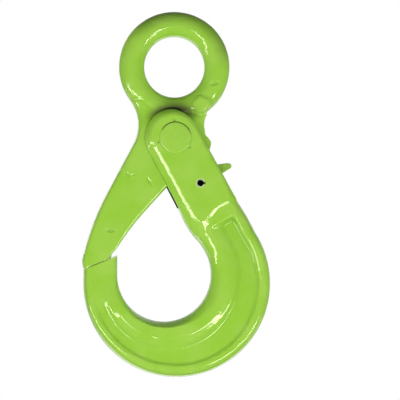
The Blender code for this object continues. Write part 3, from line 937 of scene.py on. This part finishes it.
# Load pin: a hardened round steel pin through both cheeks and the hub, with slightly domed ends. Three punch
# marks round each end hold it, and it is enamelled over together with the fork.
PIN_DOME = 13.5
PIN_SHAFT = 11.5
PIN_CORNER = ((8.3, 0.03), (8.8, 0.10), (9.1, 0.24), (9.3, 0.46), (PIN_RADIUS, 0.8))
PIN_STEPS = 96
TURNED_CREASE = 40.0
PIN_GLOSS = 0.26
PIN_WAVE = 0.12
# Painted shade on the upper rim of the pin's dome
PIN_TOP_SHADE = dict(centre=PIVOT, unshaded=8.0, black=9.4, aim=82.0, spread=0.15, falloff=1.3, strength=0.97)

half_pin = [(0.0, PIN_DOME)]
half_pin += [(radius, PIN_DOME - drop) for radius, drop in PIN_CORNER]
half_pin.append((PIN_RADIUS, PIN_SHAFT))
pin_profile = [(radius, -depth) for radius, depth in half_pin]
pin_profile += list(reversed(half_pin))
load_pin = lathe("load_pin_head", pin_profile, PIVOT, PIN_STEPS)
smooth_shade(load_pin, TURNED_CREASE)
pin_enamel = lime_enamel("pin_enamel", LIME, PIN_GLOSS, PIN_WAVE)
add_painted_shade(pin_enamel, **PIN_TOP_SHADE)
load_pin.data.materials.append(pin_enamel)
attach(load_pin, "hook")
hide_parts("load_pin")

# Trigger: a small forged steel lever in the fork, enamelled dull. Its nose stops the hub's tooth, and its
# thumb end sticks out at the back of the shank. A channel up its middle makes room for the spring.
TRIGGER_EDGE = (
    (18.35, 12.85),
    (21.6, 13.9),
    (25.75, 14.2),
    (28.4, 20.7),
    (29.4, 21.6),
    (30.8, 21.6),
    (31.8, 20.5),
    (32.0, 14.0),
    (33.6, 8.0),
)
TRIGGER_BOSS = 6.2
TRIGGER_BOSS_ARC = (-40.0, -300.0)
TRIGGER_BOSS_STEPS = 36
TRIGGER_NOSE = (22.3, 6.9)
TRIGGER_HALF_WIDTH = 5.7
TRIGGER_BORE = 3.25
TRIGGER_BORE_REACH = 8.0
TRIGGER_BORE_STEPS = 48
SPRING_CHANNEL = ((25.2, -9.0), (45.0, -9.0), (45.0, 12.0), (25.2, 12.0))
SPRING_CHANNEL_HALF_WIDTH = 2.9
TRIGGER_VOXEL = 0.22
TRIGGER_PASSES = 8
# The trigger's lime is darker than the rest, as painted shade deep in the fork
SHADED_LIME = (0.30, 0.54, 0.06)
DULL_GLOSS = 0.3

boss_start, boss_end = TRIGGER_BOSS_ARC
trigger_outline = [shank(*point) for point in TRIGGER_EDGE]
trigger_outline += arc(
    TRIGGER_PIVOT,
    TRIGGER_BOSS,
    SHANK_TILT + boss_start,
    SHANK_TILT + boss_end,
    TRIGGER_BOSS_STEPS,
)
trigger_outline.append(shank(*TRIGGER_NOSE))
trigger = plate("trigger_lever", trigger_outline, -TRIGGER_HALF_WIDTH, TRIGGER_HALF_WIDTH)
channel = [shank(*corner) for corner in SPRING_CHANNEL]
channel_cut = plate("spring_channel", channel, -SPRING_CHANNEL_HALF_WIDTH, SPRING_CHANNEL_HALF_WIDTH)
machine(trigger, [("DIFFERENCE", channel_cut)])
soften(trigger, TRIGGER_VOXEL, TRIGGER_PASSES)
trigger_bore = hole("trigger_bore", TRIGGER_PIVOT, TRIGGER_BORE, TRIGGER_BORE_REACH, TRIGGER_BORE_STEPS)
machine(trigger, [("DIFFERENCE", trigger_bore)])
smooth_shade(trigger, FORGED_CREASE)
trigger.data.materials.clear()
trigger.data.materials.append(lime_enamel("trigger_enamel", SHADED_LIME, DULL_GLOSS))
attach(trigger, "trigger")
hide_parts("trigger")

# Trigger pin: a spring pin rolled from steel strip, open along one side and driven through both cheeks. Its
# ends were caught by the enamel, and a near-black plug in its bore is painted shade.
ROLL_BORE = 1.95
ROLL_SLIT = 0.7
ROLL_HALF_LENGTH = 12.9
ROLL_STEPS = 48
ROLL_BORE_STEPS = 40
BARE_LIP = (0.55, 0.25)
BARE_STEEL = (0.52, 0.55, 0.46)
PLUG_RADIUS = 1.93
PLUG_EDGE = 12.0
PLUG_CROWN = 12.2
PLUG_STEPS = 32

half_slit = math.degrees(math.asin(ROLL_SLIT / ROLL_RADIUS))
bore_slit = math.degrees(math.asin(ROLL_SLIT / ROLL_BORE))
roll_outline = arc(TRIGGER_PIVOT, ROLL_RADIUS, half_slit, 360.0 - half_slit, ROLL_STEPS)
roll_outline += arc(TRIGGER_PIVOT, ROLL_BORE, 360.0 - bore_slit, bore_slit, ROLL_BORE_STEPS)
roll_pin = plate("roll_pin", roll_outline, -ROLL_HALF_LENGTH, ROLL_HALF_LENGTH)
smooth_shade(roll_pin, TURNED_CREASE)


def bare_lip(material):
    """Shows bare steel where the enamel chipped off round the bore."""
    tree = material.node_tree
    reach = reckon(tree, "LENGTH", from_axis(tree, TRIGGER_PIVOT))
    chipped = [(ROLL_BORE + margin) * MM for margin in BARE_LIP]
    paint_over(material, remap(tree, reach, chipped, (0.0, 1.0)), BARE_STEEL)


roll_enamel = lime_enamel("roll_pin_enamel", LIME, DULL_GLOSS)
bare_lip(roll_enamel)
roll_pin.data.materials.append(roll_enamel)
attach(roll_pin, "hook")
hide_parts("trigger_pin")

# A near-black plug in the pin's bore stands for the shade in there
half_plug = [(0.0, PLUG_CROWN), (PLUG_RADIUS, PLUG_EDGE)]
plug_profile = [(radius, -depth) for radius, depth in half_plug]
plug_profile += list(reversed(half_plug))
plug = lathe("bore_shade_plug", plug_profile, TRIGGER_PIVOT, PLUG_STEPS)
smooth_shade(plug, TURNED_CREASE)
plug.data.materials.append(fork_shade)
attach(plug, "hook")

# Return spring: a torsion spring of hard-drawn steel wire, wound round the trigger pin. One leg stands on
# the fork's floor and the other pushes the thumb lever up.
SPRING_RADIUS = 4.2
SPRING_REACH = 1.9
SPRING_TURNS = 2.5
SPRING_TURN_STEPS = 32
SPRING_WIRE_RADIUS = 0.5
FLOOR_LEG = ((36.6, 9.5), (35.6, 5.5))
LEVER_LEG = (5.0, 10.5)
DARK_WIRE = (0.22, 0.21, 0.20)
BRIGHT_WIRE = (0.46, 0.45, 0.44)
WIRE_SHEEN = (0.2, 0.45)

route = [(shank(*point), -SPRING_REACH) for point in FLOOR_LEG]
coil_steps = int(SPRING_TURNS * SPRING_TURN_STEPS)
for i in range(coil_steps + 1):
    share = i / coil_steps
    angle = SHANK_TILT - 90.0 - 360.0 * SPRING_TURNS * share
    depth = between(-SPRING_REACH, SPRING_REACH, share)
    route.append((polar(TRIGGER_PIVOT, SPRING_RADIUS, angle), depth))
route += [(shank(TRIGGER_DOWN - SPRING_RADIUS, across), SPRING_REACH) for across in LEVER_LEG]
wire = bpy.data.curves.new("return_spring_wire", "CURVE")
wire.dimensions = "3D"
wire.bevel_depth = SPRING_WIRE_RADIUS * MM
wire.bevel_resolution = 4
wire.use_fill_caps = True
spline = wire.splines.new("POLY")
spline.points.add(len(route) - 1)
for knot, (point, depth) in zip(spline.points, route):
    knot.co = (point.x * MM, depth * MM, point.y * MM, 1.0)
guide = bpy.data.objects.new("return_spring_guide", wire)
bpy.context.scene.collection.objects.link(guide)
bpy.context.view_layer.update()
graph = bpy.context.evaluated_depsgraph_get()
spring = bpy.data.objects.new("return_spring", bpy.data.meshes.new_from_object(guide.evaluated_get(graph)))
bpy.context.scene.collection.objects.link(spring)
bpy.data.objects.remove(guide)
smooth_shade(spring, TURNED_CREASE)
spring_wire, wire_tree = new_finish("spring_wire")
drawn = wire_tree.nodes["Principled BSDF"]
drawn.inputs["Metallic"].default_value = 1.0
scratches = grain(wire_tree, scale=1500.0, detail=3.0)
wire_tree.links.new(blend(wire_tree, scratches, DARK_WIRE, BRIGHT_WIRE), drawn.inputs["Base Color"])
wire_tree.links.new(remap(wire_tree, scratches, (0.0, 1.0), WIRE_SHEEN), drawn.inputs["Roughness"])
spring.data.materials.clear()
spring.data.materials.append(spring_wire)
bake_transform(spring)
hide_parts("trigger_spring")

# Studio: the hook hangs before a white sweep, high over a pale floor. Two thin strips low on either side of
# the camera make the highlights. Large fills, which reflections do not show, light the rest, and a dim strip
# and a fill light the rear.
TARGET = Vector((15.2, 0.0, -78.2)) * MM
CAMERA_AZIMUTH = -5.0
CAMERA_ELEVATION = 0.5
CAMERA_DISTANCE = 1.6
CAMERA_SENSOR = 36.0
CAMERA_CLIP = 50.0
FIELD_WIDTH = 0.236
LAMP_DISTANCE = 1.4
FLOOR_HEIGHT = -2.5
FLOOR_HALF_SIZE = 6.0
FLOOR_GREY = (0.86, 0.86, 0.86, 1.0)
FLOOR_ROUGHNESS = 0.8
FLOOR_GLOW = 1.17
FLOOR_GLOW_SHARE = 0.85
FLOOR_BACKDROP = (1.5, 4.0)
WHITE = (1.0, 1.0, 1.0, 1.0)
SWEEP_BACKDROP = (0.8, 1.0)
ROOM_SLOPE = (0.0, 0.9, -0.35)
ROOM_LIGHT = (0.06, 0.26)


def look_from(body, azimuth, elevation, distance):
    """Puts a lamp or the camera on a sphere round the hook and turns it to face the middle."""
    turn = math.radians(azimuth)
    tilt = math.radians(elevation)
    away = Vector((math.sin(turn) * math.cos(tilt), -math.cos(turn) * math.cos(tilt), math.sin(tilt)))
    body.location = TARGET + distance * away
    body.rotation_euler = (-away).to_track_quat("-Z", "Y").to_euler()
    bpy.context.scene.collection.objects.link(body)


camera_data = bpy.data.cameras.new("camera")
camera_data.sensor_width = CAMERA_SENSOR
camera_data.sensor_fit = "HORIZONTAL"
camera_data.lens = CAMERA_SENSOR * CAMERA_DISTANCE / FIELD_WIDTH
camera_data.clip_end = CAMERA_CLIP
camera = bpy.data.objects.new("camera", camera_data)
look_from(camera, CAMERA_AZIMUTH, CAMERA_ELEVATION, CAMERA_DISTANCE)
bpy.context.scene.camera = camera


def lamp(name, azimuth, elevation, width, height, power, shines):
    data = bpy.data.lights.new(name, "AREA")
    data.shape = "RECTANGLE"
    data.size = width
    data.size_y = height
    data.energy = power
    body = bpy.data.objects.new(name, data)
    body.visible_camera = False
    body.visible_glossy = shines
    look_from(body, azimuth, elevation, LAMP_DISTANCE)


lamp("left_strip", azimuth=-46.0, elevation=-24.0, width=2.0, height=0.12, power=10.8, shines=True)
lamp("right_strip", azimuth=36.0, elevation=-26.0, width=1.1, height=0.12, power=7.8, shines=True)
lamp("back_strip", azimuth=180.0, elevation=-42.0, width=2.0, height=0.5, power=4.0, shines=True)
lamp("left_fill", azimuth=-55.0, elevation=10.0, width=2.0, height=1.6, power=9.6, shines=False)
lamp("right_fill", azimuth=44.0, elevation=10.0, width=2.0, height=1.6, power=10.0, shines=False)
lamp("right_side", azimuth=96.0, elevation=2.0, width=1.6, height=1.6, power=5.0, shines=False)
lamp("back_fill", azimuth=180.0, elevation=6.0, width=2.0, height=1.6, power=17.0, shines=False)


def backdrop_share(tree, vector, stretch):
    """1 for camera rays, and for mirrored and refracted rays where they meet the backdrop behind."""
    ray = tree.nodes.new("ShaderNodeLightPath")
    depth = tree.nodes.new("ShaderNodeSeparateXYZ")
    tree.links.new(vector, depth.inputs["Vector"])
    behind = remap(tree, depth.outputs["Y"], stretch, (0.0, 1.0))
    bounced = combine(tree, "MAXIMUM", ray.outputs["Is Glossy Ray"], ray.outputs["Is Transmission Ray"])
    met = combine(tree, "MULTIPLY", bounced, behind)
    return combine(tree, "MAXIMUM", ray.outputs["Is Camera Ray"], met)


def mix_shaders(tree, share, first, second, output):
    mix = tree.nodes.new("ShaderNodeMixShader")
    tree.links.new(share, mix.inputs["Fac"])
    tree.links.new(first, mix.inputs[1])
    tree.links.new(second, mix.inputs[2])
    tree.links.new(mix.outputs["Shader"], output.inputs["Surface"])


bm = bmesh.new()
bmesh.ops.create_grid(bm, x_segments=1, y_segments=1, size=FLOOR_HALF_SIZE)
bmesh.ops.translate(bm, verts=bm.verts, vec=(0.0, 0.0, FLOOR_HEIGHT))
floor_mesh = bpy.data.meshes.new("floor")
bm.to_mesh(floor_mesh)
bm.free()
floor = bpy.data.objects.new("floor", floor_mesh)
bpy.context.scene.collection.objects.link(floor)
floor_paint, floor_tree = new_finish("floor_paint")
matt = floor_tree.nodes["Principled BSDF"]
matt.inputs["Base Color"].default_value = FLOOR_GREY
matt.inputs["Roughness"].default_value = FLOOR_ROUGHNESS
glow = floor_tree.nodes.new("ShaderNodeEmission")
glow.inputs["Color"].default_value = WHITE
glow.inputs["Strength"].default_value = FLOOR_GLOW
floor_place = floor_tree.nodes.new("ShaderNodeTexCoord").outputs["Object"]
seen = backdrop_share(floor_tree, floor_place, FLOOR_BACKDROP)
glow_share = combine(floor_tree, "MULTIPLY", seen, FLOOR_GLOW_SHARE)
floor_output = floor_tree.nodes["Material Output"]
mix_shaders(floor_tree, glow_share, matt.outputs["BSDF"], glow.outputs["Emission"], floor_output)
floor_mesh.materials.append(floor_paint)

world = bpy.data.worlds.new("studio")
bpy.context.scene.world = world
world.use_nodes = True
room = world.node_tree
room.nodes.clear()
room_output = room.nodes.new("ShaderNodeOutputWorld")
way = room.nodes.new("ShaderNodeTexCoord").outputs["Generated"]
dim = room.nodes.new("ShaderNodeBackground")
dim.inputs["Color"].default_value = WHITE
room_level = remap(room, reckon(room, "DOT_PRODUCT", way, ROOM_SLOPE), (0.0, 1.0), ROOM_LIGHT)
room.links.new(room_level, dim.inputs["Strength"])
sweep = room.nodes.new("ShaderNodeBackground")
sweep.inputs["Color"].default_value = WHITE
sweep_share = backdrop_share(room, way, SWEEP_BACKDROP)
mix_shaders(room, sweep_share, dim.outputs["Background"], sweep.outputs["Background"], room_output)

bpy.context.scene.view_settings.view_transform = "Standard"
